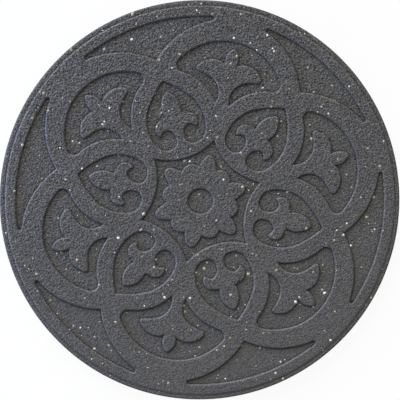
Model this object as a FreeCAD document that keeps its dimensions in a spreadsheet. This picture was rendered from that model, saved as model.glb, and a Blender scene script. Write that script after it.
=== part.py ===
import FreeCAD, Part

import math
import os

import Sketcher

# Round garden stepping stone, moulded in one piece from bonded rubber crumb.
# It lies flat: the underside is on the XY plane, +Z is up and Z is the axis of the disc.
# The face carries a sunk six-fold medallion: a star with a twelve-petal rosette in the middle,
# six hearts on the axes at 0, 60, 120 ... degrees, six leaf panels between the hearts, and six
# crescents outside the hearts. A heart and a leaf panel are symmetric about their own axis.
# All sizes are in millimetres. A bow is the height of an arc over its chord.
# The medallion is drawn to its own radius, and the drawing is fitted inside the rim.

FOLDS = 6
SECTOR = 360.0 / FOLDS
HALF_SECTOR = SECTOR / 2

SLAB_SIZES = [
    ("diameter", 450.0, "across the whole disc"),
    ("thickness", 16.0, "underside to the top of the relief"),
    ("foot_chamfer", 1.5, "chamfer under the outer edge"),
    ("ledge_width", 5.3, "low ledge round the rim, to the outer edge"),
    ("ledge_drop", 1.1, "how far the ledge lies below the top"),
    ("ledge_chamfer", 1.6, "chamfer on the ledge's outer edge"),
    ("step_run", 0.3, "slope of the step from the top to the ledge"),
    ("step_chamfer", 0.5, "chamfer on the step's top edge"),
    ("rim_flat", 11.5, "flat rim between the crescents and the step"),
    ("relief_depth", 2.5, "depth of the sunk panels"),
]

MEDALLION_SIZES = [
    ("medallion_radius", 208.0, "radius that the medallion is drawn to"),
    # star, with its rosette and the sunk disc in the rosette
    ("star_point", 71.3, "star point from the centre"),
    ("star_bow", 10.0, "inward bow of a star side"),
    ("petal_notch", 38.4, "notch between petals from the centre"),
    ("short_petal_bow", 5.9, "bow of a short petal"),
    ("long_petal_shoulder", 48.9, "end of a long petal's straight flank, along its axis"),
    ("long_petal_half_width", 5.5, "half width of a long petal there"),
    ("long_petal_bow", 3.7, "bow of a long petal's tip"),
    ("eye_radius", 14.6, "sunk disc in the rosette"),
    # heart: x runs outwards along its axis, y is the distance from the axis
    ("heart_point", 141.7, "outer point of the heart"),
    ("heart_flank_x", 112.1, "where the flank turns into the shoulder"),
    ("heart_flank_y", 28.0, "distance of that place from the axis"),
    ("heart_flank_bow", 2.1, "bow of the flank"),
    ("heart_shoulder_x", 73.7, "where the shoulder turns into the scroll"),
    ("heart_shoulder_y", 29.5, "distance of that place from the axis"),
    ("heart_shoulder_bow", 4.0, "bow of the shoulder"),
    ("scroll_outside_x", 64.6, "innermost part of the scroll"),
    ("scroll_outside_y", 14.6, "distance of that place from the axis"),
    ("scroll_top_bow", 2.5, "bow from the shoulder to there"),
    ("scroll_foot_x", 75.5, "where the scroll comes nearest to the axis"),
    ("scroll_foot_y", 4.3, "half width of the stem there"),
    ("scroll_foot_bow", 3.6, "bow from the innermost part to the foot"),
    ("scroll_eye_x", 87.9, "outermost part of the scroll's eye"),
    ("scroll_eye_y", 13.2, "distance of that place from the axis"),
    ("scroll_eye_bow", 2.7, "bow from the foot to the eye"),
    ("scroll_tip_x", 82.5, "tip of the petal that curls into the scroll"),
    ("scroll_tip_y", 20.9, "distance of that tip from the axis"),
    ("scroll_tip_bow", 1.0, "bow from the eye to the tip"),
    ("fleur_petal_x", 98.1, "end of the fleur's round side petal"),
    ("fleur_petal_y", 19.8, "distance of that place from the axis"),
    ("fleur_petal_bow", 3.8, "bow of the side petal"),
    ("fleur_notch_x", 101.6, "notch between side petal and middle leaf"),
    ("fleur_notch_y", 8.6, "distance of the notch from the axis"),
    ("fleur_leaf_tip", 128.5, "tip of the middle leaf"),
    ("fleur_leaf_bow", 5.2, "bow of the middle leaf's side"),
    # leaf panel: x runs outwards along its axis, y is the distance from the axis
    ("panel_cusp_x", 110.9, "inner cusp beside the stem"),
    ("panel_cusp_y", 8.1, "half width of the stem at the cusp"),
    ("panel_side_bow", 6.0, "bow of the side that follows the heart"),
    ("panel_corner_x", 137.3, "where that side turns into the corner"),
    ("panel_corner_y", 53.4, "distance of that place from the axis"),
    ("panel_corner_bow", 2.9, "bow of the corner"),
    ("panel_outer_x", 148.4, "where the corner turns into the outer arc"),
    ("panel_outer_y", 59.8, "distance of that place from the axis"),
    ("panel_outer_bow", 34.6, "bow of the outer arc"),
    ("leaf_neck_x", 140.5, "where the stem has flared into the side leaf"),
    ("leaf_neck_y", 21.7, "distance of that place from the axis"),
    ("leaf_neck_bow", 7.3, "bow of the flare"),
    ("leaf_lobe_x", 143.7, "start of the side leaf's round tip"),
    ("leaf_lobe_y", 35.3, "distance of that place from the axis"),
    ("leaf_lobe_bow", 1.7, "bow of the round tip"),
    ("leaf_back_x", 150.2, "end of the side leaf's round tip"),
    ("leaf_back_y", 34.8, "distance of that place from the axis"),
    ("leaf_back_bow", 5.8, "bow of the side leaf's outer edge"),
    ("leaf_notch_x", 155.8, "notch between side leaf and middle leaf"),
    ("leaf_notch_y", 6.0, "distance of the notch from the axis"),
    ("leaf_tip", 175.3, "tip of the middle leaf"),
    ("leaf_tip_bow", 3.5, "bow of the middle leaf's side"),
    # crescent, between the outer arc at the medallion's radius and two inner sides
    ("crescent_apex", 165.5, "inner point of the crescent"),
    ("crescent_side_bow", 8.3, "bow of its two inner sides"),
    ("crescent_half_width", 75.5, "half width at the outer arc's ends"),
    ("crescent_end_width", 4.7, "width of its blunt ends"),
    ("crescent_end_bow", 1.7, "bow of its blunt ends"),
]


class Size:
    """A size of the sheet, or a sum, product or ratio of sizes: its number and its expression."""

    def __init__(self, value, text):
        self.value = value
        self.text = text

    def __add__(self, other):
        other = as_size(other)
        return Size(self.value + other.value, f"({self.text} + {other.text})")

    def __sub__(self, other):
        other = as_size(other)
        return Size(self.value - other.value, f"({self.text} - {other.text})")

    def __mul__(self, other):
        other = as_size(other)
        return Size(self.value * other.value, f"({self.text} * {other.text})")

    def __truediv__(self, other):
        other = as_size(other)
        return Size(self.value / other.value, f"({self.text} / {other.text})")

    def __neg__(self):
        return self * -1

    def root(self):
        """The square root."""
        return Size(math.sqrt(self.value), f"sqrt({self.text})")


def as_size(number):
    """A plain number as a size that nothing drives."""
    if isinstance(number, Size):
        return number
    return Size(float(number), f"({number:.12g})")


def add_sheet(doc):
    """Write the driving sizes into a sheet and return them by name."""
    sheet = doc.addObject("Spreadsheet::Sheet", "Sizes")
    rows = SLAB_SIZES + MEDALLION_SIZES
    for row, (name, value, note) in enumerate(rows, start=1):
        sheet.set(f"A{row}", note)
        sheet.set(f"B{row}", str(value))
        sheet.setAlias(f"B{row}", name)
    doc.recompute()
    return {name: Size(float(sheet.get(name)), f"{sheet.Name}.{name}") for name, _, _ in rows}


def step_head_radius(sizes):
    """Where the flat top ends, at the chamfered edge of the step down to the ledge."""
    return sizes["diameter"] / 2 - sizes["ledge_width"] - sizes["step_run"] - sizes["step_chamfer"]


def fitted_medallion(sizes):
    """The medallion's sizes, with the drawing fitted inside the flat rim."""
    fit = (step_head_radius(sizes) - sizes["rim_flat"]) / sizes["medallion_radius"]
    return {name: sizes[name] * fit for name, _, _ in MEDALLION_SIZES}


class Corner:
    """A corner of an outline, and the bow of the edge that leaves it (positive bows outwards)."""

    def __init__(self, name, x, y, bow=None):
        self.name = name
        self.x = as_size(x)
        self.y = as_size(y)
        self.bow = bow


def mirrored(half):
    """Follow a half outline, whose last corner is on the x axis, by its mirror image."""
    corners = half[:-1]
    corners.append(Corner(half[-1].name, half[-1].x, half[-1].y, half[-2].bow))
    for index in range(len(half) - 2, 0, -1):
        corner = half[index]
        corners.append(Corner(f"{corner.name}_mirror", corner.x, -corner.y, half[index - 1].bow))
    return corners


def polar(radius, angle):
    """A place at this radius and angle, in degrees."""
    return radius * math.cos(math.radians(angle)), radius * math.sin(math.radians(angle))


def arc_radius(start, end, bow):
    """The radius of the arc of this bow between two corners."""
    across = end.x - start.x
    along = end.y - start.y
    chord_squared = across * across + along * along
    return bow / 2 + chord_squared / (bow * 8)


def edge_curve(start, end):
    """The edge from one corner to the next, with the numbers of its start and end point."""
    first = FreeCAD.Vector(start.x.value, start.y.value, 0)
    last = FreeCAD.Vector(end.x.value, end.y.value, 0)
    if start.bow is None:
        return Part.LineSegment(first, last), 1, 2
    chord = last - first
    right = FreeCAD.Vector(chord.y, -chord.x, 0).normalize()
    middle = (first + last) / 2 + right * start.bow.value
    arc = Part.Arc(first, middle, last)
    if start.bow.value > 0:
        return arc, 1, 2
    return arc, 2, 1


def bind(sketch, constraint, name, size):
    """Add a dimension to a sketch under this name and drive it by a size."""
    sketch.renameConstraint(sketch.addConstraint(constraint), name)
    sketch.setExpression(f"Constraints.{name}", size.text)


def add_loop(sketch, corners):
    """Draw a closed outline, counter-clockwise, and drive every corner and every arc by the sheet."""
    edges = []
    for index, corner in enumerate(corners):
        follower = corners[(index + 1) % len(corners)]
        curve, start, end = edge_curve(corner, follower)
        edges.append((sketch.addGeometry(curve, False), start, end))
    for index, corner in enumerate(corners):
        number, start, _ = edges[index]
        previous, _, end = edges[index - 1]
        follower = corners[(index + 1) % len(corners)]
        sketch.addConstraint(Sketcher.Constraint("Coincident", previous, end, number, start))
        for axis, place in (("X", corner.x), ("Y", corner.y)):
            distance = Sketcher.Constraint(f"Distance{axis}", -1, 1, number, start, place.value)
            bind(sketch, distance, f"{corner.name}_{axis.lower()}", place)
        if corner.bow is not None:
            size = -corner.bow if corner.bow.value < 0 else corner.bow
            radius = arc_radius(corner, follower, size)
            bind(sketch, Sketcher.Constraint("Radius", number, radius.value), f"{corner.name}_arc", radius)


def add_disc(sketch, name, radius):
    """Draw a circle about the centre and drive its radius by the sheet."""
    circle = Part.Circle(FreeCAD.Vector(), FreeCAD.Vector(0, 0, 1), radius.value)
    number = sketch.addGeometry(circle, False)
    sketch.addConstraint(Sketcher.Constraint("Coincident", number, 3, -1, 1))
    bind(sketch, Sketcher.Constraint("Radius", number, radius.value), name, radius)


def add_sketch(doc, body, role, name, loops):
    """A sketch of closed outlines on one of the body's own planes."""
    sketch = body.newObject("Sketcher::SketchObject", name)
    plane = [feature for feature in body.Origin.OriginFeatures if feature.Role == role][0]
    sketch.AttachmentSupport = [(plane, "")]
    sketch.MapMode = "FlatFace"
    for corners in loops:
        add_loop(sketch, corners)
    doc.recompute()
    return sketch


def add_pocket(doc, body, sizes, name, loops, turn=0.0, disc=None):
    """Sink outlines into the top of the slab, their x axis turned by this angle."""
    sketch = add_sketch(doc, body, "XY_Plane", f"{name}_outline", loops)
    if disc is not None:
        add_disc(sketch, "disc_radius", disc)
    turned = FreeCAD.Rotation(FreeCAD.Vector(0, 0, 1), turn)
    sketch.AttachmentOffset = FreeCAD.Placement(FreeCAD.Vector(), turned)
    sketch.setExpression("AttachmentOffset.Base.z", sizes["thickness"].text)
    before = body.Shape.Volume
    pocket = body.newObject("PartDesign::Pocket", name)
    pocket.Profile = sketch
    pocket.Type = "Length"
    pocket.setExpression("Length", sizes["relief_depth"].text)
    doc.recompute()
    if not pocket.Shape.Volume < before:
        raise RuntimeError(f"{name} cuts nothing")
    return pocket


def slab_profile(sizes):
    """Half section of the plain slab: x is the radius and y the height."""
    outside = sizes["diameter"] / 2
    top = sizes["thickness"]
    ledge = top - sizes["ledge_drop"]
    foot = sizes["foot_chamfer"]
    edge = sizes["ledge_chamfer"]
    brow = sizes["step_chamfer"]
    step_head = step_head_radius(sizes)
    return [
        Corner("centre_foot", 0, 0),
        Corner("foot_inside", outside - foot, 0),
        Corner("foot_outside", outside, foot),
        Corner("edge_outside", outside, ledge - edge),
        Corner("edge_inside", outside - edge, ledge),
        Corner("step_foot", outside - sizes["ledge_width"], ledge),
        Corner("step_brow", step_head + brow, top - brow),
        Corner("step_head", step_head, top),
        Corner("centre_top", 0, top),
    ]


def star_loops(figure):
    """The sunk star and the rosette left standing in it."""
    star = []
    rosette = []
    for fold in range(FOLDS):
        axis = fold * SECTOR
        point_x, point_y = polar(figure["star_point"], axis - HALF_SECTOR)
        star.append(Corner(f"point_{fold}", point_x, point_y, -figure["star_bow"]))
        rosette += petal_pair(figure, fold, axis)
    return [star, rosette]


def petal_pair(figure, fold, axis):
    """A short petal on this axis and the long petal that follows it."""
    notch = figure["petal_notch"]
    quarter = HALF_SECTOR / 2
    long_axis = axis + HALF_SECTOR
    along_x, along_y = polar(figure["long_petal_shoulder"], long_axis)
    across_x, across_y = polar(figure["long_petal_half_width"], long_axis + 90.0)
    return [
        Corner(f"short_{fold}", *polar(notch, axis - quarter), figure["short_petal_bow"]),
        Corner(f"long_{fold}", *polar(notch, axis + quarter)),
        Corner(f"tip_{fold}", along_x - across_x, along_y - across_y, figure["long_petal_bow"]),
        Corner(f"flank_{fold}", along_x + across_x, along_y + across_y),
    ]


def heart_loop(figure):
    """The sunk heart: its outer point, shoulder and scroll, then back along the fleur standing in it."""
    size = figure.get
    return mirrored([
        Corner("point", size("heart_point"), 0, size("heart_flank_bow")),
        Corner("flank", size("heart_flank_x"), size("heart_flank_y"), size("heart_shoulder_bow")),
        Corner("shoulder", size("heart_shoulder_x"), size("heart_shoulder_y"), size("scroll_top_bow")),
        Corner("outside", size("scroll_outside_x"), size("scroll_outside_y"), size("scroll_foot_bow")),
        Corner("foot", size("scroll_foot_x"), size("scroll_foot_y"), size("scroll_eye_bow")),
        Corner("eye", size("scroll_eye_x"), size("scroll_eye_y"), size("scroll_tip_bow")),
        Corner("tip", size("scroll_tip_x"), size("scroll_tip_y"), -size("fleur_petal_bow")),
        Corner("petal", size("fleur_petal_x"), size("fleur_petal_y")),
        Corner("notch", size("fleur_notch_x"), size("fleur_notch_y"), -size("fleur_leaf_bow")),
        Corner("leaf_tip", size("fleur_leaf_tip"), 0),
    ])


def panel_loop(figure):
    """The sunk leaf panel: its corner and side, back along the leaf standing in it, and its outer arc."""
    size = figure.get
    outer_x = size("panel_outer_x")
    outer_y = size("panel_outer_y")
    corners = mirrored([
        Corner("outer", outer_x, outer_y, size("panel_corner_bow")),
        Corner("corner", size("panel_corner_x"), size("panel_corner_y"), -size("panel_side_bow")),
        Corner("cusp", size("panel_cusp_x"), size("panel_cusp_y"), size("leaf_neck_bow")),
        Corner("neck", size("leaf_neck_x"), size("leaf_neck_y")),
        Corner("lobe", size("leaf_lobe_x"), size("leaf_lobe_y"), -size("leaf_lobe_bow")),
        Corner("back", size("leaf_back_x"), size("leaf_back_y"), -size("leaf_back_bow")),
        Corner("notch", size("leaf_notch_x"), size("leaf_notch_y"), -size("leaf_tip_bow")),
        Corner("tip", size("leaf_tip"), 0),
    ])
    corners.append(Corner("outer_mirror", outer_x, -outer_y, size("panel_outer_bow")))
    return corners


def crescent_loop(figure):
    """The sunk crescent: two inner sides, two blunt ends and an outer arc about the centre."""
    radius = figure["medallion_radius"]
    half_width = figure["crescent_half_width"]
    outer_x = (radius * radius - half_width * half_width).root()
    inwards = (radius - figure["crescent_end_width"]) / radius
    side_bow = figure["crescent_side_bow"]
    end_bow = figure["crescent_end_bow"]
    return [
        Corner("apex", figure["crescent_apex"], 0, -side_bow),
        Corner("lower_side", outer_x * inwards, -half_width * inwards, end_bow),
        Corner("lower_end", outer_x, -half_width, radius - outer_x),
        Corner("upper_end", outer_x, half_width, end_bow),
        Corner("upper_side", outer_x * inwards, half_width * inwards, -side_bow),
    ]


def build_stone(doc, sizes):
    """The whole stone: the turned slab, then the sunk panels of its medallion."""
    body = doc.addObject("PartDesign::Body", "stepping_stone")
    body.Label = "stepping_stone"
    profile = add_sketch(doc, body, "XZ_Plane", "slab_profile", [slab_profile(sizes)])
    slab = body.newObject("PartDesign::Revolution", "slab")
    slab.Profile = profile
    slab.ReferenceAxis = (profile, ["V_Axis"])
    slab.Angle = 360.0
    doc.recompute()
    figure = fitted_medallion(sizes)
    add_pocket(doc, body, sizes, "star", star_loops(figure), disc=figure["eye_radius"])
    panels = [
        add_pocket(doc, body, sizes, "heart", [heart_loop(figure)]),
        add_pocket(doc, body, sizes, "leaf_panel", [panel_loop(figure)], HALF_SECTOR),
        add_pocket(doc, body, sizes, "crescent", [crescent_loop(figure)]),
    ]
    folds = body.newObject("PartDesign::PolarPattern", "folds")
    folds.Originals = panels
    folds.Axis = (profile, ["V_Axis"])
    folds.Angle = 360.0
    folds.Occurrences = FOLDS
    body.Tip = folds
    doc.recompute()
    return body


def check_document(doc):
    """Stop if any object failed to build."""
    for item in doc.Objects:
        if "Invalid" in item.State or "Error" in item.State:
            raise RuntimeError(f"{item.Name} failed to build: {item.State}")


def write_part(body):
    """Write the finished solid to its own file."""
    shape = body.Shape
    if shape.isNull() or not shape.isValid() or len(shape.Solids) != 1:
        raise RuntimeError(f"{body.Label} is not one valid solid")
    shape.exportStep(f"parts/{body.Label}.step")
    print(f"{body.Label}: {shape.Volume / 1000:.1f} cm3, {len(shape.Faces)} faces")


def main():
    doc = FreeCAD.newDocument("stepping_stone")
    body = build_stone(doc, add_sheet(doc))
    check_document(doc)
    os.makedirs("parts", exist_ok=True)
    write_part(body)


main()
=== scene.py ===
import math

import bpy
import numpy as np
from bpy.props import FloatProperty, FloatVectorProperty, IntProperty, PointerProperty
from mathutils import Matrix, Vector, kdtree
from mathutils.geometry import delaunay_2d_cdt


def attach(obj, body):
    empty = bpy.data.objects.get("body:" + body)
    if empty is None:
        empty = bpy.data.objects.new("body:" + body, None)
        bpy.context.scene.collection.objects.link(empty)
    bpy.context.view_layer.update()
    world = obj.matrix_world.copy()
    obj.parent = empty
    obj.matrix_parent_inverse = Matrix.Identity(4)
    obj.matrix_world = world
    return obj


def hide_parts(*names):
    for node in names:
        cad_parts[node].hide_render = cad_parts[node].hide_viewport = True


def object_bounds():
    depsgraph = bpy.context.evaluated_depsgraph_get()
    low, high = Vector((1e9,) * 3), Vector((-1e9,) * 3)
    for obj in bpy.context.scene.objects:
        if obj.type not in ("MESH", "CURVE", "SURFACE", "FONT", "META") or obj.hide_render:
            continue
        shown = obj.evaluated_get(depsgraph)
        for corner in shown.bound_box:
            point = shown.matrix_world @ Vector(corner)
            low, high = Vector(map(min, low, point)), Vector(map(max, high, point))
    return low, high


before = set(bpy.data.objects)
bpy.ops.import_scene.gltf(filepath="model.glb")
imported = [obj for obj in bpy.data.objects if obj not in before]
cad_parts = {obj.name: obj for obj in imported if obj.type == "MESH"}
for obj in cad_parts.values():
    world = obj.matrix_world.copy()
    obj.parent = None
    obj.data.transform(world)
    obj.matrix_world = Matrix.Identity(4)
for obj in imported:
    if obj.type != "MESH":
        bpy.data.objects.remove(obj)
cad_low, cad_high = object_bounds()
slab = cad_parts["stepping_stone"]

bl_info = {
    "name": "Rubber crumb stepping stone",
    "version": (1, 0, 0),
    "blender": (4, 5, 0),
    "location": "3D View > Sidebar > Stepping Stone",
    "description": "Dresses the packed stepping stone with its moulded skin, its crumbs and a studio",
    "category": "Object",
}

MM = 0.001

# Reading the slab: decimals of a metre, and how near levels and radii count as the same
DECIMALS = 6
SAME_LEVEL = 0.01 * MM
SLIGHT = 0.1 * MM

# Points along the walls
CORNER_TURN = math.radians(25)
MITRE_LEAST = 0.5
MARK_GAP = 0.3 * MM
GUIDE_GAP = 0.8 * MM
ROW_COUNT = 7
ROW_MARGIN = 0.3 * MM
ROW_LEAST_GAP = 0.22 * MM
OWN_WALL = 0.9
OWN_MARGIN = 0.05 * MM

# Rings of points over the rim's step, the ledge (millimetres) and the round (shares of it)
STEP_LEAD = 2.2 * MM
STEP_RINGS = 7
LEDGE_RINGS = (1.5, 2.8)
ROUND_RINGS = (1.0, 0.62, 0.3, 0.09)
RING_STRETCH = 1.15

# Points of the open face, the side and the underside
TRIANGLE_HEIGHT = 0.866
FACE_MARGIN = 2.9 * MM
FACE_SHAKE = 0.18
FACE_CLEAR = 0.62
SIDE_PARTS = (0.76, 0.52, 0.3)
FOOT_HEIGHT = 1.5 * MM
FOOT_ROUND = 0.45 * MM
UNDER_MARGIN = 4 * MM
UNDER_GAP = 9 * MM
UNDER_SHAKE = 0.15
JOIN_GAP = 1e-5

# Pressing the face; noise scales are for each metre
TOP_MARGIN = 0.05 * MM
RAY_START = 10 * MM
RAY_LENGTH = 0.1
STRAY_SCALE = 340.0
STRAY_SPAN = 2.4
STEP_STRAY = 0.5
STEP_TOP = 1.9 * MM
STEP_END = 0.5 * MM
PORE_WIDTH = 0.62
SLOW_SCALE = 62.0
SLOW_SPAN = (0.25, 0.75)

# Crumbs: least upward slope of their bed, room under the solid's top, and chance of shape
BED_SLOPE = 0.85
CRUMB_CLEARANCE = 0.02 * MM
CRUMB_STRETCH = (0.75, 1.25)
FULL_TURN = 6.28

# Grain of the rubber; noise scales are for each metre
CELL_SCALE = 780.0
CELL_SEAM = (0.4, 0.85)
CELL_WIDTH = 0.75
GRIT_SCALE = 1500.0
PATCH_SCALE = 16.0
PIT_SCALE = 500.0
PIT_SPAN = (0.38, 0.66)
# Share of loose crumbs that get painted glints
PAINTED_GLINT_SPAN = (0.94, 0.98)
GRAIN_MIDDLE = 0.8
GRAIN_DEPTH = 0.5 * MM
# Way towards the main lamp, along which painted light in the grain grows
KEY_X = -0.6
KEY_Y = 1.2
KEY_SLOPE = 3.3
RAISED_MARGIN = 0.8 * MM
UNDERSIDE = 0.5 * MM
SIDE_FLECKS = 0.991
FLECK_COVER = 0.85

# Calm lips, painted highlights on lips and painted shade at feet: shares of the grain's depth and of the
# rubber's tone
LIP_CALM = 0.85
PAINTED_LIP_LIGHT = 0.4
PAINTED_BROW_LIGHT = 0.25
PAINTED_FOOT_SHADE = 0.58
PAINTED_SHADOW_TAIL = 0.1
PAINTED_STEP_SHADE = 0.42

# Where they set in and fade, in millimetres beyond a wall's line, the rim or the step's foot
SHINE_RISE = (-1.7, -1.0)
SHINE_FALL = (-0.2, 0.3)
LIP_RISE = (-1.2, -0.6)
LIP_FALL = (-0.1, 0.6)
FOOT_RISE = (0.3, 0.9)
FOOT_FALL = (1.1, 2.2)
SHADOW_TAIL_FALL = (1.5, 7.0)
BROW_RISE = (-2.2, -1.4)
BROW_FALL = (-1.2, -0.6)
STEP_SHADE_RISE = (-1.4, -0.6)
STEP_SHADE_FALL = (0.0, 1.6)
SIDE_RISE = (-1.2, -0.6)

# Pale crumbs: the part of the lot that takes each colour
PALE_PARTS = {"tan": (0.0, 0.25), "cream": (0.38, 0.66), "white": (0.78, 0.92), "amber": (0.95, 1.0)}
PALE_SEED_STEP = 40
PALE_GRIT_SCALE = 1800.0
PALE_GRIT_DEPTH = 0.2 * MM

# The studio's fixed sizes in metres, and how far the camera sees the floor as paper
FLOOR_HALF = 6.0
FLOOR_LEVEL = -0.1 * MM
PAPER = 0.93
KEY_DISTANCE = 2.0
FILL_WIDTH = 0.3
VIEW_END = 20.0
WHITE = (1, 1, 1, 1)


def length(name, description, default_mm):
    """A length property whose default is given in millimetres."""
    return FloatProperty(name=name, description=description, default=default_mm * MM,
                         unit="LENGTH", precision=5)


def share(name, description, default):
    """A plain number property."""
    return FloatProperty(name=name, description=description, default=default)


def angle(name, description, default_degrees):
    """An angle property whose default is given in degrees."""
    return FloatProperty(name=name, description=description, default=math.radians(default_degrees),
                         subtype="ANGLE")


def colour(name, description, default):
    """A colour property in linear light."""
    return FloatVectorProperty(name=name, description=description, default=(*default, 1.0), size=4,
                               subtype="COLOR", min=0.0, max=1.0)


class MouldedRelief(bpy.types.PropertyGroup):
    """How the moulded face departs from the sharp solid."""

    point_gap: length("Point gap", "Distance between the skin's points on open faces", 1.7)
    row_gap: length("Row gap", "Distance between the skin's points along a wall", 1.7)
    wall_top: length("Wall top", "How far inside the raised side a wall begins to fall", 0.9)
    wall_foot: length("Wall foot", "How far out on the sunk side a wall ends", 0.7)
    wander: length("Wander", "How far the crumbs make a wall stray from its line", 0.3)
    room: length("Room", "Depth kept free under the solid's face for proud crumbs", 0.45)
    side_room: length("Side room", "Depth kept free inside the solid's side", 0.08)
    pore: length("Pore", "Depth of the hollows between bonded crumbs", 0.18)
    crumb: length("Crumb", "Size of the bonded crumbs", 2.6)
    uneven: length("Uneven", "Slow rise and fall of the face", 0.13)
    rim_round: length("Rim round", "Round of the ledge's outer edge", 1.6)
    seed: IntProperty(name="Seed", description="Pattern of the skin's points", default=7)


class CrumbMix(bpy.types.PropertyGroup):
    """Amounts, sizes and colours of the rubber crumbs."""

    dark_amount: share("Dark crumbs", "Proud dark crumbs for each square metre", 52000.0)
    dark_least: length("Least dark crumb", "Half width of the smallest proud dark crumb", 0.55)
    dark_most: length("Largest dark crumb", "Half width of the largest proud dark crumb", 1.15)
    pale_amount: share("Pale crumbs", "Pale crumbs for each square metre", 3600.0)
    pale_least: length("Least pale crumb", "Half width of the smallest pale crumb", 0.62)
    pale_most: length("Largest pale crumb", "Half width of the largest pale crumb", 2.3)
    seed: IntProperty(name="Seed", description="Places of the crumbs", default=11)
    raised_colour: colour("Raised rubber", "Rubber of the raised faces", (0.1029, 0.1004, 0.0983))
    sunk_colour: colour("Sunk rubber", "Rubber of the sunk faces", (0.1048, 0.1027, 0.1))
    cream: colour("Cream crumb", "Commonest pale crumb", (0.445, 0.415, 0.325))
    tan: colour("Tan crumb", "Darker pale crumb", (0.275, 0.237, 0.177))
    white: colour("White crumb", "Brightest pale crumb", (0.765, 0.73, 0.635))
    amber: colour("Amber crumb", "Warmest pale crumb", (0.56, 0.42, 0.245))


class PhotoStudio(bpy.types.PropertyGroup):
    """Camera, lamps and floor."""

    distance: length("Distance", "Camera to the middle of the picture", 2200.0)
    picture_width: length("Picture width", "Width of the face's level that fills the picture", 448.6)
    aim_x: length("Aim X", "Middle of the picture on the face", -0.9)
    aim_y: length("Aim Y", "Middle of the picture on the face", 1.34)
    lean: angle("Lean", "Angle of the view from straight above", 4.1)
    lean_side: angle("Lean side", "Direction that the camera leans towards", 134.5)
    turn: angle("Turn", "Turn of the picture about the view", 12.63)
    key_strength: share("Key", "Strength of the main lamp", 3.36)
    key_height: angle("Key height", "Height of the main lamp above the horizon", 28.0)
    key_side: angle("Key side", "Direction of the main lamp round the stone", 127.0)
    key_spread: angle("Key spread", "Width of the main lamp as seen from the stone", 46.0)
    fill_power: share("Fill", "Power of the cool side lamp in watts", 9.2)
    fill_distance: length("Fill distance", "Cool side lamp to the stone's middle", 1050.0)
    fill_height: angle("Fill height", "Height of the cool side lamp above the horizon", 11.5)
    fill_side: angle("Fill side", "Direction of the cool side lamp round the stone", 188.0)
    fill_colour: colour("Fill colour", "Colour of the cool side lamp", (0.4, 0.53, 1.0))
    sky: share("Sky", "Even light from all round", 0.455)
    floor_white: colour("Floor", "Colour of the floor", (0.86, 0.86, 0.86))


class Wire:
    """An output of a node, with sums that add Math nodes to its board."""

    def __init__(self, board, socket):
        self.board = board
        self.socket = socket

    def __add__(self, other):
        return self.board.math("ADD", self, other)

    def __radd__(self, other):
        return self.board.math("ADD", other, self)

    def __sub__(self, other):
        return self.board.math("SUBTRACT", self, other)

    def __rsub__(self, other):
        return self.board.math("SUBTRACT", other, self)

    def __mul__(self, other):
        return self.board.math("MULTIPLY", self, other)

    def __rmul__(self, other):
        return self.board.math("MULTIPLY", other, self)

    def __truediv__(self, other):
        return self.board.math("DIVIDE", self, other)

    def __rtruediv__(self, other):
        return self.board.math("DIVIDE", other, self)

    def __pow__(self, other):
        return self.board.math("POWER", self, other)

    def __gt__(self, other):
        return self.board.math("GREATER_THAN", self, other)

    def __lt__(self, other):
        return self.board.math("LESS_THAN", self, other)

    def __neg__(self):
        return self.board.math("MULTIPLY", self, -1.0)


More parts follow.
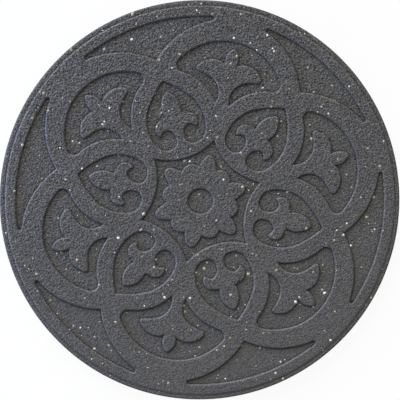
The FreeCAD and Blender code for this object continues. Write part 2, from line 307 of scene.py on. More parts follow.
class Board:
    """A node tree, and short ways to add to it."""

    def __init__(self, tree):
        self.tree = tree

    def node(self, kind, settings=None, values=None):
        """Adds a node: its settings first, then the values or links of its sockets."""
        item = self.tree.nodes.new(kind)
        for name, value in (settings or {}).items():
            if name == "stops":
                self.set_stops(item.color_ramp, value)
            else:
                setattr(item, name, value)
        for name, value in (values or {}).items():
            socket = self.find(item.inputs, name)
            if isinstance(value, Wire):
                self.tree.links.new(value.socket, socket)
            else:
                socket.default_value = value
        return item

    def out(self, item, name=0):
        """One output of a node as a wire."""
        return Wire(self, self.find(item.outputs, name))

    def wire(self, kind, settings=None, values=None, name=0):
        """One output of a new node as a wire."""
        return self.out(self.node(kind, settings, values), name)

    def math(self, operation, *values):
        """A Math node as a wire."""
        return self.wire("ShaderNodeMath", {"operation": operation}, dict(enumerate(values)))

    def soft(self, value, low, high, start=0.0, end=1.0):
        """A value that goes smoothly from start to end as another goes from low to high."""
        settings = {"interpolation_type": "SMOOTHSTEP"}
        values = {"Value": value, "From Min": low, "From Max": high, "To Min": start, "To Max": end}
        return self.wire("ShaderNodeMapRange", settings, values, "Result")

    def fade(self, value, low, high):
        """A value that goes smoothly from one to nought."""
        return self.soft(value, low, high, 1.0, 0.0)

    def band(self, value, rise, fall):
        """A value that is one between a smooth rise and a smooth fall."""
        return self.soft(value, *rise) * self.fade(value, *fall)

    def dome(self, distance, width):
        """A round hump about a cell's middle."""
        return 1 - self.math("MINIMUM", 1.0, distance / width) ** 2

    def vector(self, x=0.0, y=0.0, z=0.0):
        """Three values as a vector."""
        return self.wire("ShaderNodeCombineXYZ", None, {0: x, 1: y, 2: z})

    def parts(self, vector):
        """The three values of a vector or colour."""
        item = self.node("ShaderNodeSeparateXYZ", None, {0: vector})
        return [self.out(item, number) for number in range(3)]

    def scaled(self, vector, factor):
        """A vector or colour times a number."""
        values = {0: vector, "Scale": factor}
        return self.wire("ShaderNodeVectorMath", {"operation": "SCALE"}, values, "Vector")

    def noise(self, place, scale, detail):
        """A cloudy value, about one half in the middle."""
        values = {"Vector": place, "Scale": scale, "Detail": detail}
        return self.wire("ShaderNodeTexNoise", None, values)

    def cells(self, place, scale):
        """Irregular cells: the distance from a cell's middle, and the cell's own chance number."""
        item = self.node("ShaderNodeTexVoronoi", None, {"Vector": place, "Scale": scale})
        return self.out(item, "Distance"), self.parts(self.out(item, "Color"))[0]

    def attribute(self, name):
        """A number kept on the mesh."""
        return self.wire("ShaderNodeAttribute", {"attribute_name": name}, None, "Fac")

    def blend(self, share_of_second, first, second):
        """Two colours mixed."""
        values = {"Factor_Float": share_of_second, "A_Color": first, "B_Color": second}
        return self.wire("ShaderNodeMix", {"data_type": "RGBA"}, values, "Result_Color")

    def bump(self, strength, depth, height):
        """The normal of a surface with fine lumps."""
        values = {"Strength": strength, "Distance": depth, "Height": height}
        return self.wire("ShaderNodeBump", None, values)

    @staticmethod
    def find(sockets, name):
        """A socket by its number, identifier or name."""
        if isinstance(name, int):
            return sockets[name]
        for socket in sockets:
            if socket.identifier == name:
                return socket
        return next(socket for socket in sockets if socket.name == name and socket.enabled)

    @staticmethod
    def set_stops(ramp, stops):
        """The places and colours of a colour ramp."""
        while len(ramp.elements) > 1:
            ramp.elements.remove(ramp.elements[-1])
        ramp.elements[0].position = stops[0][0]
        ramp.elements[0].color = stops[0][1]
        for place, shade in stops[1:]:
            ramp.elements.new(place).color = shade


class ShapeBoard(Board):
    """A Geometry Nodes tree with named inputs and one geometry output."""

    def __init__(self, name, inputs, numbers):
        super().__init__(bpy.data.node_groups.new(name, "GeometryNodeTree"))
        for title, kind in {**inputs, **dict.fromkeys(numbers, "Float")}.items():
            self.tree.interface.new_socket(title, in_out="INPUT", socket_type="NodeSocket" + kind)
        self.tree.interface.new_socket("Geometry", in_out="OUTPUT", socket_type="NodeSocketGeometry")
        self.start = self.node("NodeGroupInput")

    def given(self, title):
        """One of the tree's inputs."""
        return self.out(self.start, title)

    def shape_of(self, title):
        """The shape of an object that the tree is given."""
        return self.wire("GeometryNodeObjectInfo", None, {"Object": self.given(title)}, "Geometry")

    def store(self, geometry, domain, name, value):
        """Keeps a number on the points or instances of a shape."""
        settings = {"data_type": "FLOAT", "domain": domain}
        values = {"Geometry": geometry, "Name": name, "Value": value}
        return self.wire("GeometryNodeStoreNamedAttribute", settings, values)

    def shift(self, geometry, way, vector):
        """Moves the points of a shape to a Position or by an Offset."""
        return self.wire("GeometryNodeSetPosition", None, {"Geometry": geometry, way: vector})

    def realized(self, geometry):
        """Instances made into one plain mesh."""
        return self.wire("GeometryNodeRealizeInstances", None, {"Geometry": geometry})

    def close(self, geometry, material):
        """Makes the shape smooth, gives it its finish and ends the tree."""
        smooth = self.wire("GeometryNodeSetShadeSmooth", None, {"Geometry": geometry})
        values = {"Geometry": smooth, "Material": material}
        done = self.wire("GeometryNodeSetMaterial", None, values)
        self.node("NodeGroupOutput", None, {"Geometry": done})

    def apply(self, piece, values):
        """Runs the tree on a piece and leaves the result as its plain mesh."""
        modifier = piece.modifiers.new(self.tree.name, "NODES")
        modifier.node_group = self.tree
        for item in self.tree.interface.items_tree:
            if item.in_out == "INPUT" and item.name in values:
                modifier[item.identifier] = values[item.name]
        shown = piece.evaluated_get(bpy.context.evaluated_depsgraph_get())
        result = bpy.data.meshes.new_from_object(shown)
        piece.modifiers.remove(modifier)
        old = piece.data
        piece.data = result
        result.name = piece.name
        bpy.data.meshes.remove(old)
        if not len(result.polygons):
            raise RuntimeError(piece.name + " came out empty")
        result.materials.clear()
        result.materials.append(values["Material"])
        result.polygons.foreach_set("material_index", [0] * len(result.polygons))


class SlabShape:
    """Levels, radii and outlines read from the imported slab."""

    def __init__(self):
        mesh = slab.data
        places = np.empty(len(mesh.vertices) * 3)
        mesh.vertices.foreach_get("co", places)
        places = np.round(places.reshape(-1, 3), DECIMALS)
        points, index = np.unique(places, axis=0, return_inverse=True)
        faces = index.reshape(-1)[np.array([face.vertices[:] for face in mesh.polygons])]
        height = points[:, 2]
        reach = np.hypot(points[:, 0], points[:, 1])
        self.top = height.max()
        loops = self.outlines(points, faces)
        spans = [np.hypot(*loop.T).max() for loop in loops]
        self.rim = max(spans)
        self.loops = [loop for loop, span in zip(loops, spans) if span < self.rim]
        self.outer = reach.max()
        inner = (reach < self.rim - MM) & (height < self.top - MM) & (height > MM)
        self.floor = height[inner].max()
        ledge = (reach > self.rim + SLIGHT) & (reach < self.outer - SLIGHT) & (height > self.top / 2)
        self.ledge = height[ledge].min()
        self.step_foot = reach[ledge & (height < self.ledge + SLIGHT)].min()

    def outlines(self, points, faces):
        """Closed outlines of the flat top, each with the raised side on its left."""
        flat = (points[faces][:, :, 2] > self.top - SAME_LEVEL).all(axis=1)
        sides = {}
        for a, b, c in faces[flat].tolist():
            sides.update({(a, b): True, (b, c): True, (c, a): True})
        onward = {a: b for a, b in sides if (b, a) not in sides}
        loops = []
        while onward:
            start, here = onward.popitem()
            loop = [start]
            while here != start:
                loop.append(here)
                here = onward.pop(here)
            loops.append(points[loop][:, :2])
        return loops


class Crowd:
    """Takes in points that keep a least distance from those it holds."""

    def __init__(self, space):
        self.space = space
        self.cells = {}
        self.points = []

    def add(self, x, y):
        """Keeps the point unless another is too near."""
        column = math.floor(x / self.space)
        row = math.floor(y / self.space)
        for i in (column - 1, column, column + 1):
            for j in (row - 1, row, row + 1):
                for other in self.cells.get((i, j), ()):
                    if math.hypot(x - other[0], y - other[1]) < self.space:
                        return
        self.cells.setdefault((column, row), []).append((x, y))
        self.points.append((x, y))


def unit(vectors):
    """Vectors brought to length one."""
    return vectors / np.hypot(vectors[:, 0], vectors[:, 1])[:, None]


def mirrored(vectors, axes):
    """Vectors mirrored in the lines along the axes."""
    return 2 * (vectors * axes).sum(axis=1)[:, None] * axes - vectors


def curve_points(loop, gap):
    """Points along a closed outline, curved between its own, and the way to the raised side at each."""
    ahead = np.roll(loop, -1, axis=0) - loop
    run = np.hypot(ahead[:, 0], ahead[:, 1])
    chord = unit(ahead)
    last = np.roll(chord, 1, axis=0)
    turn = np.arctan2(last[:, 0] * chord[:, 1] - last[:, 1] * chord[:, 0], (last * chord).sum(axis=1))
    corner = abs(turn) > CORNER_TURN
    along = unit(last * run[:, None] + chord * np.roll(run, 1)[:, None])
    leave = np.where(np.roll(corner, -1)[:, None], chord, mirrored(np.roll(along, -1, axis=0), chord))
    leave = np.where(corner[:, None], leave, along)
    reach = np.where(np.roll(corner, 1)[:, None], last, mirrored(np.roll(along, 1, axis=0), last))
    reach = np.where(corner[:, None], reach, along)
    places = []
    inward = []
    for i in range(len(loop)):
        j = (i + 1) % len(loop)
        steps = max(1, round(run[i] / gap))
        u = (np.arange(steps) / steps)[:, None]
        first, second = leave[i] * run[i], reach[j] * run[i]
        places.append(loop[i] * (2 * u**3 - 3 * u**2 + 1) + first * (u**3 - 2 * u**2 + u)
                      + loop[j] * (3 * u**2 - 2 * u**3) + second * (u**3 - u**2))
        slope = unit((loop[j] - loop[i]) * (6 * u - 6 * u**2) + first * (3 * u**2 - 4 * u + 1)
                     + second * (3 * u**2 - 2 * u))
        middle = unit((leave[i] + reach[i])[None, :])[0]
        slope[0] = middle / max(MITRE_LEAST, float(middle @ leave[i]))
        inward.append(np.stack([-slope[:, 1], slope[:, 0]], axis=1))
    return np.concatenate(places), np.concatenate(inward)


def near_finder(points):
    """A search tree over flat points."""
    tree = kdtree.KDTree(len(points))
    for number, (x, y) in enumerate(points):
        tree.insert((x, y, 0.0), number)
    tree.balance()
    return tree


def ring(radius, count):
    """Points round a circle."""
    turn = np.arange(count) * (2 * math.pi / count)
    return np.stack([radius * np.cos(turn), radius * np.sin(turn)], axis=1)


def lattice(reach, gap, jitter, seed):
    """Points of a slightly shaken triangular lattice inside a circle."""
    rows = int(reach / (gap * TRIANGLE_HEIGHT)) + 1
    columns = int(reach / gap) + 1
    i, j = np.meshgrid(np.arange(-columns, columns + 1), np.arange(-rows, rows + 1))
    x = (i + 0.5 * (j % 2)).ravel() * gap
    y = j.ravel() * gap * TRIANGLE_HEIGHT
    shake = np.random.default_rng(seed).uniform(-jitter, jitter, (len(x), 2)) * gap
    points = np.stack([x, y], axis=1) + shake
    return points[np.hypot(points[:, 0], points[:, 1]) < reach]


def triangles(points):
    """Triangles between flat points, anticlockwise; the points keep their order."""
    flat = [Vector(point) for point in (points / MM).tolist()]
    places, _, faces, sources, _, _ = delaunay_2d_cdt(flat, [], [], 0, JOIN_GAP, True)
    if len(places) != len(points):
        raise RuntimeError("two points of the skin fall together")
    return np.array([[sources[corner][0] for corner in face] for face in faces])


def wall_rows(shape, relief):
    """Points in rows along the relief's walls, without those that come too near another wall."""
    marks = np.concatenate([curve_points(loop, MARK_GAP)[0] for loop in shape.loops])
    wall = near_finder(marks)
    crowd = Crowd(ROW_LEAST_GAP)
    for offset in np.linspace(-relief.wall_foot - ROW_MARGIN, relief.wall_top + ROW_MARGIN, ROW_COUNT):
        for loop in shape.loops:
            places, inward = curve_points(loop, relief.row_gap)
            for x, y in (places + inward * offset).tolist():
                if wall.find((x, y, 0.0))[2] > OWN_WALL * abs(offset) - OWN_MARGIN:
                    crowd.add(x, y)
    return np.array(crowd.points)


def rim_radii(shape, relief):
    """Radii of the rings down the rim's step, over the ledge and round the ledge's edge."""
    outer = shape.outer - relief.side_room
    radii = np.linspace(shape.rim - STEP_LEAD, shape.step_foot, STEP_RINGS).tolist()
    radii += [shape.step_foot + beyond * MM for beyond in LEDGE_RINGS]
    return radii + [outer - relief.rim_round * part for part in ROUND_RINGS]


def face_points(shape, relief):
    """Flat points of the stone's face, the outer ring first, and the number of points in a ring."""
    rows = wall_rows(shape, relief)
    taken = near_finder(rows)
    outer = shape.outer - relief.side_room
    count = round(2 * math.pi * outer / (RING_STRETCH * relief.point_gap))
    rings = np.concatenate([ring(radius, count) for radius in rim_radii(shape, relief)])
    between = lattice(shape.rim - FACE_MARGIN, relief.point_gap, FACE_SHAKE, relief.seed)
    clear = FACE_CLEAR * relief.point_gap
    open_face = [point for point in between if taken.find((*point, 0.0))[2] > clear]
    return np.concatenate([ring(outer, count), rings, rows, np.array(open_face)]), count


def skin_sheet(shape, relief):
    """The stone as a closed mesh whose face is still flat at the top level."""
    face, count = face_points(shape, relief)
    points = [np.column_stack([face, np.full(len(face), shape.top)])]
    corners = [triangles(face)]
    outer = shape.outer - relief.side_room
    edge = shape.ledge - relief.rim_round
    levels = [(outer, edge * part) for part in SIDE_PARTS] + [(outer, FOOT_HEIGHT)]
    levels += [(outer - FOOT_ROUND, FOOT_ROUND), (outer - FOOT_HEIGHT, 0.0)]
    start = 0
    total = len(face)
    turn = np.arange(count)
    for radius, height in levels:
        points.append(np.column_stack([ring(radius, count), np.full(count, height)]))
        above, beside = start + turn, start + (turn + 1) % count
        below, across = total + turn, total + (turn + 1) % count
        corners.append(np.column_stack([above, below, beside]))
        corners.append(np.column_stack([beside, below, across]))
        start = total
        total += count
    inside = lattice(outer - FOOT_HEIGHT - UNDER_MARGIN, UNDER_GAP, UNDER_SHAKE, relief.seed)
    under = triangles(np.concatenate([ring(outer - FOOT_HEIGHT, count), inside]))
    points.append(np.column_stack([inside, np.zeros(len(inside))]))
    corners.append(under[:, ::-1] + start)
    return np.concatenate(points), np.concatenate(corners)


def new_piece(name, points, edges, faces):
    """An object from points, edges and faces, in the scene and at the origin."""
    mesh = bpy.data.meshes.new(name)
    mesh.from_pydata(points, edges, faces)
    mesh.update()
    piece = bpy.data.objects.new(name, mesh)
    bpy.context.scene.collection.objects.link(piece)
    return piece


def outline_guide(shape):
    """The relief's outlines as loose edges at level zero, to measure distances from."""
    points = []
    edges = []
    for loop in shape.loops:
        places = curve_points(loop, GUIDE_GAP)[0]
        first = len(points)
        points += [(x, y, 0.0) for x, y in places.tolist()]
        edges += [(first + i, first + (i + 1) % len(places)) for i in range(len(places))]
    return new_piece("relief_outlines", points, edges, [])


def relief_board():
    """Tree that presses the flat sheet into the moulded face."""
    board = ShapeBoard(
        "moulded relief",
        {"Sheet": "Geometry", "Outlines": "Object", "Slab": "Object", "Material": "Material"},
        ("Top", "Floor", "Rim", "Step Foot", "Ledge", "Outer", "Rim Round", "Wall Top", "Wall Foot",
         "Wander", "Room", "Pore", "Crumb", "Uneven"))
    given = board.given
    top = given("Top")
    place = board.wire("GeometryNodeInputPosition")
    x, y, z = board.parts(place)
    level = board.vector(x, y)
    on_face = z > top - TOP_MARGIN

    # Distance from the nearest wall line, below zero on the raised side
    nearest = {"Target": board.shape_of("Outlines"), "Source Position": level}
    gap = board.wire("GeometryNodeProximity", {"target_element": "EDGES"}, nearest, "Distance")
    above = board.vector(x, y, top + RAY_START)
    ray = {"Target Geometry": board.shape_of("Slab"), "Source Position": above,
           "Ray Direction": (0, 0, -1), "Ray Length": RAY_LENGTH}
    hit = board.wire("GeometryNodeRaycast", None, ray, "Hit Position")
    raised = board.parts(hit)[2] > (top + given("Floor")) * 0.5
    stray = (board.noise(level, STRAY_SCALE, 2.0) - 0.5) * STRAY_SPAN * given("Wander")
    beyond = gap * (1 - 2 * raised) + stray
    sheet = board.store(given("Sheet"), "POINT", "from_wall", beyond / MM)

    # Fall of the walls, of the rim's step and of the ledge's round
    sink = board.soft(beyond, -given("Wall Top"), given("Wall Foot")) * (top - given("Floor"))
    reach = board.math("SQRT", x * x + y * y)
    step = board.soft(reach + stray * STEP_STRAY, given("Rim") - STEP_TOP, given("Step Foot") - STEP_END)
    step = step * (top - given("Ledge"))
    over = board.math("MAXIMUM", 0.0, 1 - (given("Outer") - reach) / given("Rim Round"))
    fall = given("Rim Round") * (1 - board.math("SQRT", board.math("MAXIMUM", 0.0, 1 - over * over)))

    # Hollows between the crumbs, and slow waves
    distance, lot = board.cells(place, 1 / given("Crumb"))
    proud = 0.3 + 0.7 * lot
    pore = given("Pore") * (1 - board.dome(distance, PORE_WIDTH) * proud)
    slow = given("Uneven") * board.soft(board.noise(level, SLOW_SCALE, 3.0), *SLOW_SPAN)

    press = given("Room") + sink + step + fall + pore + slow * on_face
    down = board.vector(z=-(press * on_face))
    side = (1 - on_face) * (z > MM)
    inward = board.scaled(board.wire("GeometryNodeInputNormal"), -(pore * side))
    move = board.wire("ShaderNodeVectorMath", {"operation": "ADD"}, {0: down, 1: inward})
    board.close(board.shift(sheet, "Offset", move), given("Material"))
    return board


def scatter_board():
    """Tree that beds irregular crumbs in a skin."""
    board = ShapeBoard(
        "bedded crumbs", {"Skin": "Geometry", "Material": "Material", "Seed": "Int"},
        ("Top", "Amount", "Space", "Least", "Most", "Small Share", "Flat", "Bed", "Tilt"))
    given = board.given
    upward = board.parts(board.wire("GeometryNodeInputNormal"))[2]
    spread = board.node("GeometryNodeDistributePointsOnFaces", {"distribute_method": "POISSON"}, {
        "Mesh": given("Skin"), "Selection": upward > BED_SLOPE, "Distance Min": given("Space"),
        "Density Max": given("Amount"), "Seed": given("Seed")})

    def lot(number, low=0.0, high=1.0):
        """A chance number for each crumb."""
        values = {"Min_001": low, "Max_001": high, "Seed": given("Seed") + number}
        return board.wire("FunctionNodeRandomValue", {"data_type": "FLOAT"}, values, "Value_001")

    size = given("Least") + (given("Most") - given("Least")) * lot(1) ** given("Small Share")
    bed = board.scaled(board.out(spread, "Normal"), -(size * given("Bed")))
    points = board.shift(board.out(spread, "Points"), "Offset", bed)
    tilts = [lot(number, -1.0, 1.0) * given("Tilt") for number in (2, 3)]
    angles = board.vector(*tilts, lot(4, 0.0, FULL_TURN))
    turn = board.wire("FunctionNodeEulerToRotation", None, {0: angles})
    stand = board.wire("FunctionNodeRotateRotation", {"rotation_space": "LOCAL"},
                       {"Rotation": board.out(spread, "Rotation"), "Rotate By": turn})
    widths = [size * lot(number, *CRUMB_STRETCH) for number in (5, 6)]
    lump = board.wire("GeometryNodeMeshIcoSphere", None, {"Radius": 1.0, "Subdivisions": 1}, "Mesh")
    crumbs = board.wire("GeometryNodeInstanceOnPoints", None, {
        "Points": points, "Instance": lump, "Rotation": stand,
        "Scale": board.vector(*widths, size * given("Flat"))})
    loose = board.realized(board.store(crumbs, "INSTANCE", "tint", lot(7)))
    x, y, z = board.parts(board.wire("GeometryNodeInputPosition"))
    under = board.vector(x, y, board.math("MINIMUM", z, given("Top")))
    board.close(board.shift(loose, "Position", under), given("Material"))
    return board


def new_finish(name):
    """A material with an empty board."""
    material = bpy.data.materials.new(name)
    material.use_nodes = True
    material.node_tree.nodes.clear()
    return material, Board(material.node_tree)


def close_finish(board, values):
    """Ends a material in one shader."""
    shader = board.wire("ShaderNodeBsdfPrincipled", None, values)
    board.node("ShaderNodeOutputMaterial", None, {"Surface": shader})


def beside(radius, offsets):
    """Radii that lie some millimetres beyond another."""
    return [radius + offset * MM for offset in offsets]


def wall_shine_and_painted_light(board, shape, reach):
    """The shine of the walls' lips, and the light and shade painted into the rubber's tone: painted
    highlights on the lips and the rim's brow, painted shade and a long painted shadow tail at the walls'
    feet, and painted shade at the step's foot.
    """
    beyond = board.attribute("from_wall")
    brow = board.band(reach, beside(shape.rim, BROW_RISE), beside(shape.step_foot, BROW_FALL))
    shine = board.math("MAXIMUM", board.band(beyond, SHINE_RISE, SHINE_FALL), brow)
    # Painted highlights: the walls' lips and the rim's brow are made lighter in tone
    painted_highlight = 1 + PAINTED_LIP_LIGHT * board.band(beyond, LIP_RISE, LIP_FALL) + PAINTED_BROW_LIGHT * brow
    # Painted shade at the walls' feet, with a long painted shadow tail out over the sunk faces
    foot = PAINTED_FOOT_SHADE * board.fade(beyond, *FOOT_FALL) + PAINTED_SHADOW_TAIL * board.fade(beyond, *SHADOW_TAIL_FALL)
    # Painted shade in a band at the foot of the rim's step
    step_shade = board.band(reach, beside(shape.step_foot, STEP_SHADE_RISE), beside(shape.step_foot, STEP_SHADE_FALL))
    return shine, painted_highlight * (1 - foot * board.soft(beyond, *FOOT_RISE)) * (1 - PAINTED_STEP_SHADE * step_shade)


def rubber_finish(shape, mix, loose):
    """Dark bonded rubber; a loose crumb takes its shade from its own number, not from its cell."""
    material, board = new_finish("proud rubber crumb" if loose else "bonded rubber crumb")
    place = board.wire("ShaderNodeTexCoord", None, None, "Object")
    x, y, height = board.parts(place)
    raised = board.soft(height, shape.floor, shape.top - RAISED_MARGIN)
    base = board.blend(raised, tuple(mix.sunk_colour), tuple(mix.raised_colour))
    gap, lot = board.cells(place, CELL_SCALE)
    if loose:
        lot = board.attribute("tint")
    grit = board.noise(place, GRIT_SCALE, 2.0)
    lot_tone = 0.66 + 0.6 * lot
    grit_tone = 0.6 + 0.8 * grit
    patch_tone = 0.9 + 0.2 * board.noise(place, PATCH_SCALE, 3.0)
    lot_rise = 0.4 + 0.6 * lot
    lumps = board.dome(gap, CELL_WIDTH) * lot_rise + 0.35 * grit

    # Painted light: the grain's tone stands out more towards the main lamp
    keyward = (y * KEY_Y + x * KEY_X) * KEY_SLOPE
    contrast = 0.97 + 0.1 * raised + 0.46 * keyward
    if loose:
        # Painted glints: a few loose crumbs are lighter at random, and more so towards the main lamp
        painted_glint = 0.8 + 0.6 * keyward
        grain = lot_tone * grit_tone * (1 + board.soft(lot, *PAINTED_GLINT_SPAN) * painted_glint)
        shine, painted_light = 0.0, 1.0
    else:
        pit = board.noise(place, PIT_SCALE, 0.0)
        pit_tone = board.soft(pit, *PIT_SPAN, 1.06, 0.72)
        pit_depth = 3.5 + 2.2 * keyward
        # Partly darker joints between bonded crumbs, partly painted shade: each crumb lighter in its
        # middle, as if domed
        seam_and_dome_shade = 1.1 - 0.6 * board.soft(gap, *CELL_SEAM)
        grain = lot_tone * grit_tone * seam_and_dome_shade * pit_tone
        reach = board.math("SQRT", x * x + y * y)
        shine, painted_light = wall_shine_and_painted_light(board, shape, reach)
        lumps = lumps - pit_depth * (pit - 0.5) * (1 - LIP_CALM * shine)
        side = board.soft(reach, *beside(shape.outer, SIDE_RISE))
        plain = board.math("MAXIMUM", side, height < UNDERSIDE)
        base = board.blend(plain * (lot > SIDE_FLECKS) * FLECK_COVER, base, tuple(mix.cream))
    # The tone takes the walls' painted highlights and painted shade
    tone = GRAIN_MIDDLE * (grain / GRAIN_MIDDLE) ** contrast * patch_tone * painted_light
    close_finish(board, {
        "Base Color": board.scaled(base, tone),
        "Roughness": 0.82 - 0.16 * lot * raised - 0.36 * shine,
        "Specular IOR Level": 0.5,
        "Normal": board.bump(1.0, GRAIN_DEPTH, lumps)})
    return material


def pale_finish(mix):
    """Cream, tan, white and amber crumbs among the dark ones."""
    material, board = new_finish("pale crumb")
    place = board.wire("ShaderNodeTexCoord", None, None, "Object")
    stops = [(end, tuple(getattr(mix, name))) for name, ends in PALE_PARTS.items() for end in ends]
    base = board.wire("ShaderNodeValToRGB", {"stops": stops}, {"Fac": board.attribute("tint")}, "Color")
    grit = board.noise(place, PALE_GRIT_SCALE, 2.0)
    close_finish(board, {
        "Base Color": board.scaled(base, 0.72 + 0.56 * grit),
        "Roughness": 0.6 + 0.25 * grit,
        "Specular IOR Level": 0.3,
        "Normal": board.bump(0.5, PALE_GRIT_DEPTH, grit)})
    return material


def floor_finish(studio):
    """White floor that the camera sees as paper and that still shows the stone's shadow."""
    material, board = new_finish("white floor")
    path = board.node("ShaderNodeLightPath")
    rays = board.out(path, "Is Camera Ray") + board.out(path, "Is Glossy Ray")
    seen = board.math("MINIMUM", 1.0, rays + board.out(path, "Is Transmission Ray"))
    lit = board.wire("ShaderNodeBsdfDiffuse", None, {"Color": tuple(studio.floor_white)})
    paper = board.wire("ShaderNodeEmission", None, {"Color": WHITE, "Strength": 1.0})
    both = board.wire("ShaderNodeMixShader", None, {0: seen * PAPER, 1: lit, 2: paper})
    board.node("ShaderNodeOutputMaterial", None, {"Surface": both})
    return material


def settle(piece):
    """Ties a piece to the stone's body."""
    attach(piece, "root")


class STONE_OT_mould_skin(bpy.types.Operator):
    """Makes the stone's moulded skin with its six-fold medallion"""

    bl_idname = "stepping_stone.mould_skin"
    bl_label = "Mould the skin"

    def execute(self, context):
        relief = context.scene.moulded_relief
        shape = SlabShape()
        points, corners = skin_sheet(shape, relief)
        piece = new_piece("moulded_skin", points.tolist(), [], corners.tolist())
        guide = outline_guide(shape)
        finish = rubber_finish(shape, context.scene.crumb_mix, False)
        relief_board().apply(piece, {
            "Outlines": guide, "Slab": slab, "Material": finish,
            "Top": shape.top, "Floor": shape.floor, "Rim": shape.rim, "Step Foot": shape.step_foot,
            "Ledge": shape.ledge, "Outer": shape.outer - relief.side_room, "Rim Round": relief.rim_round,
            "Wall Top": relief.wall_top, "Wall Foot": relief.wall_foot, "Wander": relief.wander,
            "Room": relief.room, "Pore": relief.pore, "Crumb": relief.crumb, "Uneven": relief.uneven})
        bpy.data.objects.remove(guide)
        settle(piece)
        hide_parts("stepping_stone")
        return {"FINISHED"}


def bed_crumbs(name, values):
    """Beds crumbs in the finished skin as one more piece."""
    skin = bpy.data.objects["moulded_skin"]
    piece = bpy.data.objects.new(name, skin.data.copy())
    bpy.context.scene.collection.objects.link(piece)
    scatter_board().apply(piece, {"Top": cad_high.z - CRUMB_CLEARANCE, **values})
    settle(piece)


class STONE_OT_bed_dark_crumbs(bpy.types.Operator):
    """Beds proud dark rubber crumbs in the skin"""

    bl_idname = "stepping_stone.bed_dark_crumbs"
    bl_label = "Bed the dark crumbs"

    def execute(self, context):
        mix = context.scene.crumb_mix
        bed_crumbs("dark_crumbs", {
            "Material": rubber_finish(SlabShape(), mix, True), "Seed": mix.seed,
            "Amount": mix.dark_amount, "Space": 1.5 * MM, "Least": mix.dark_least, "Most": mix.dark_most,
            "Small Share": 1.6, "Flat": 0.5, "Bed": 0.3, "Tilt": 0.25})
        return {"FINISHED"}


class STONE_OT_bed_pale_crumbs(bpy.types.Operator):
    """Beds cream, tan, white and amber crumbs in the skin"""

    bl_idname = "stepping_stone.bed_pale_crumbs"
    bl_label = "Bed the pale crumbs"

    def execute(self, context):
        mix = context.scene.crumb_mix
        bed_crumbs("pale_crumbs", {
            "Material": pale_finish(mix), "Seed": mix.seed + PALE_SEED_STEP,
            "Amount": mix.pale_amount, "Space": 2.0 * MM, "Least": mix.pale_least, "Most": mix.pale_most,
            "Small Share": 2.1, "Flat": 0.2, "Bed": 0.09, "Tilt": 0.06})
        return {"FINISHED"}


def aimed(height, side):
    """The way from the stone to something at a height above the horizon and a side."""
    level = math.cos(height)
    return Vector((level * math.cos(side), level * math.sin(side), math.sin(height)))


def point_camera(studio, top):
    """Places the camera as the photographer stood."""
    camera = bpy.data.cameras.new("photo_camera")
    camera.sensor_fit = "HORIZONTAL"
    camera.lens = camera.sensor_width * studio.distance / studio.picture_width
    camera.clip_end = VIEW_END
    aim = Vector((studio.aim_x, studio.aim_y, top))
    back = aimed(math.pi / 2 - studio.lean, studio.lean_side)
    right = Vector((-math.sin(studio.turn), math.cos(studio.turn), 0.0)).cross(back).normalized()
    up = back.cross(right)
    view = bpy.data.objects.new("photo_camera", camera)
    turned = Matrix((right, up, back)).transposed().to_4x4()
    view.matrix_world = Matrix.Translation(aim + back * studio.distance) @ turned
    bpy.context.scene.collection.objects.link(view)
    bpy.context.scene.camera = view


def hang_lamp(lamp, towards, distance):
    """Hangs a lamp some way off the stone, pointed at its middle."""
    hung = bpy.data.objects.new(lamp.name, lamp)
    hung.rotation_euler = towards.to_track_quat("Z", "Y").to_euler()
    hung.location = towards * distance
    hung.visible_camera = False
    bpy.context.scene.collection.objects.link(hung)


def light_stone(studio):
    """The main lamp and the cool one beside it."""
    key = bpy.data.lights.new("key_light", "SUN")
    key.energy = studio.key_strength
    key.angle = studio.key_spread
    hang_lamp(key, aimed(studio.key_height, studio.key_side), KEY_DISTANCE)
    fill = bpy.data.lights.new("fill_light", "AREA")
    fill.energy = studio.fill_power
    fill.color = studio.fill_colour[:3]
    fill.shape = "DISK"
    fill.size = FILL_WIDTH
    hang_lamp(fill, aimed(studio.fill_height, studio.fill_side), studio.fill_distance)


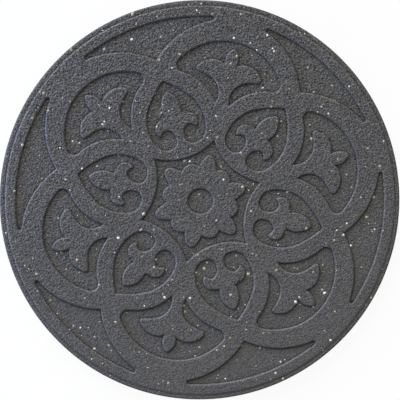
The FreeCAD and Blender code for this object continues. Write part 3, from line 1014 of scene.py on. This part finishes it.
class STONE_OT_set_stage(bpy.types.Operator):
    """Sets the floor, the lamps and the camera"""

    bl_idname = "stepping_stone.set_stage"
    bl_label = "Set the stage"

    def execute(self, context):
        studio = context.scene.photo_studio
        ways = ((-1, -1), (1, -1), (1, 1), (-1, 1))
        corners = [(FLOOR_HALF * x, FLOOR_HALF * y, FLOOR_LEVEL) for x, y in ways]
        floor = new_piece("studio_floor", corners, [], [(0, 1, 2, 3)])
        floor.data.materials.append(floor_finish(studio))
        world = bpy.data.worlds.new("studio light")
        world.use_nodes = True
        world.node_tree.nodes.clear()
        board = Board(world.node_tree)
        sky = board.wire("ShaderNodeBackground", None, {"Color": WHITE, "Strength": studio.sky})
        board.node("ShaderNodeOutputWorld", None, {"Surface": sky})
        context.scene.world = world
        light_stone(studio)
        point_camera(studio, cad_high.z)
        context.scene.view_settings.view_transform = "Standard"
        return {"FINISHED"}


class STONE_PT_sidebar(bpy.types.Panel):
    """The stepping stone's steps and sizes"""

    bl_idname = "STONE_PT_sidebar"
    bl_label = "Stepping Stone"
    bl_space_type = "VIEW_3D"
    bl_region_type = "UI"
    bl_category = "Stepping Stone"

    def draw(self, context):
        for step in STEPS:
            self.layout.operator(step.bl_idname)
        for name, group in GROUPS.items():
            box = self.layout.box()
            for title in group.__annotations__:
                box.prop(getattr(context.scene, name), title)


GROUPS = {"moulded_relief": MouldedRelief, "crumb_mix": CrumbMix, "photo_studio": PhotoStudio}
STEPS = (STONE_OT_mould_skin, STONE_OT_bed_dark_crumbs, STONE_OT_bed_pale_crumbs, STONE_OT_set_stage)
CLASSES = (*GROUPS.values(), *STEPS, STONE_PT_sidebar)


def register():
    for item in CLASSES:
        bpy.utils.register_class(item)
    for name, group in GROUPS.items():
        setattr(bpy.types.Scene, name, PointerProperty(type=group))


def unregister():
    for name in GROUPS:
        delattr(bpy.types.Scene, name)
    for item in reversed(CLASSES):
        bpy.utils.unregister_class(item)


def main():
    register()
    bpy.ops.stepping_stone.mould_skin()
    bpy.ops.stepping_stone.bed_dark_crumbs()
    bpy.ops.stepping_stone.bed_pale_crumbs()
    bpy.ops.stepping_stone.set_stage()


if __name__ == "__main__":
    main()
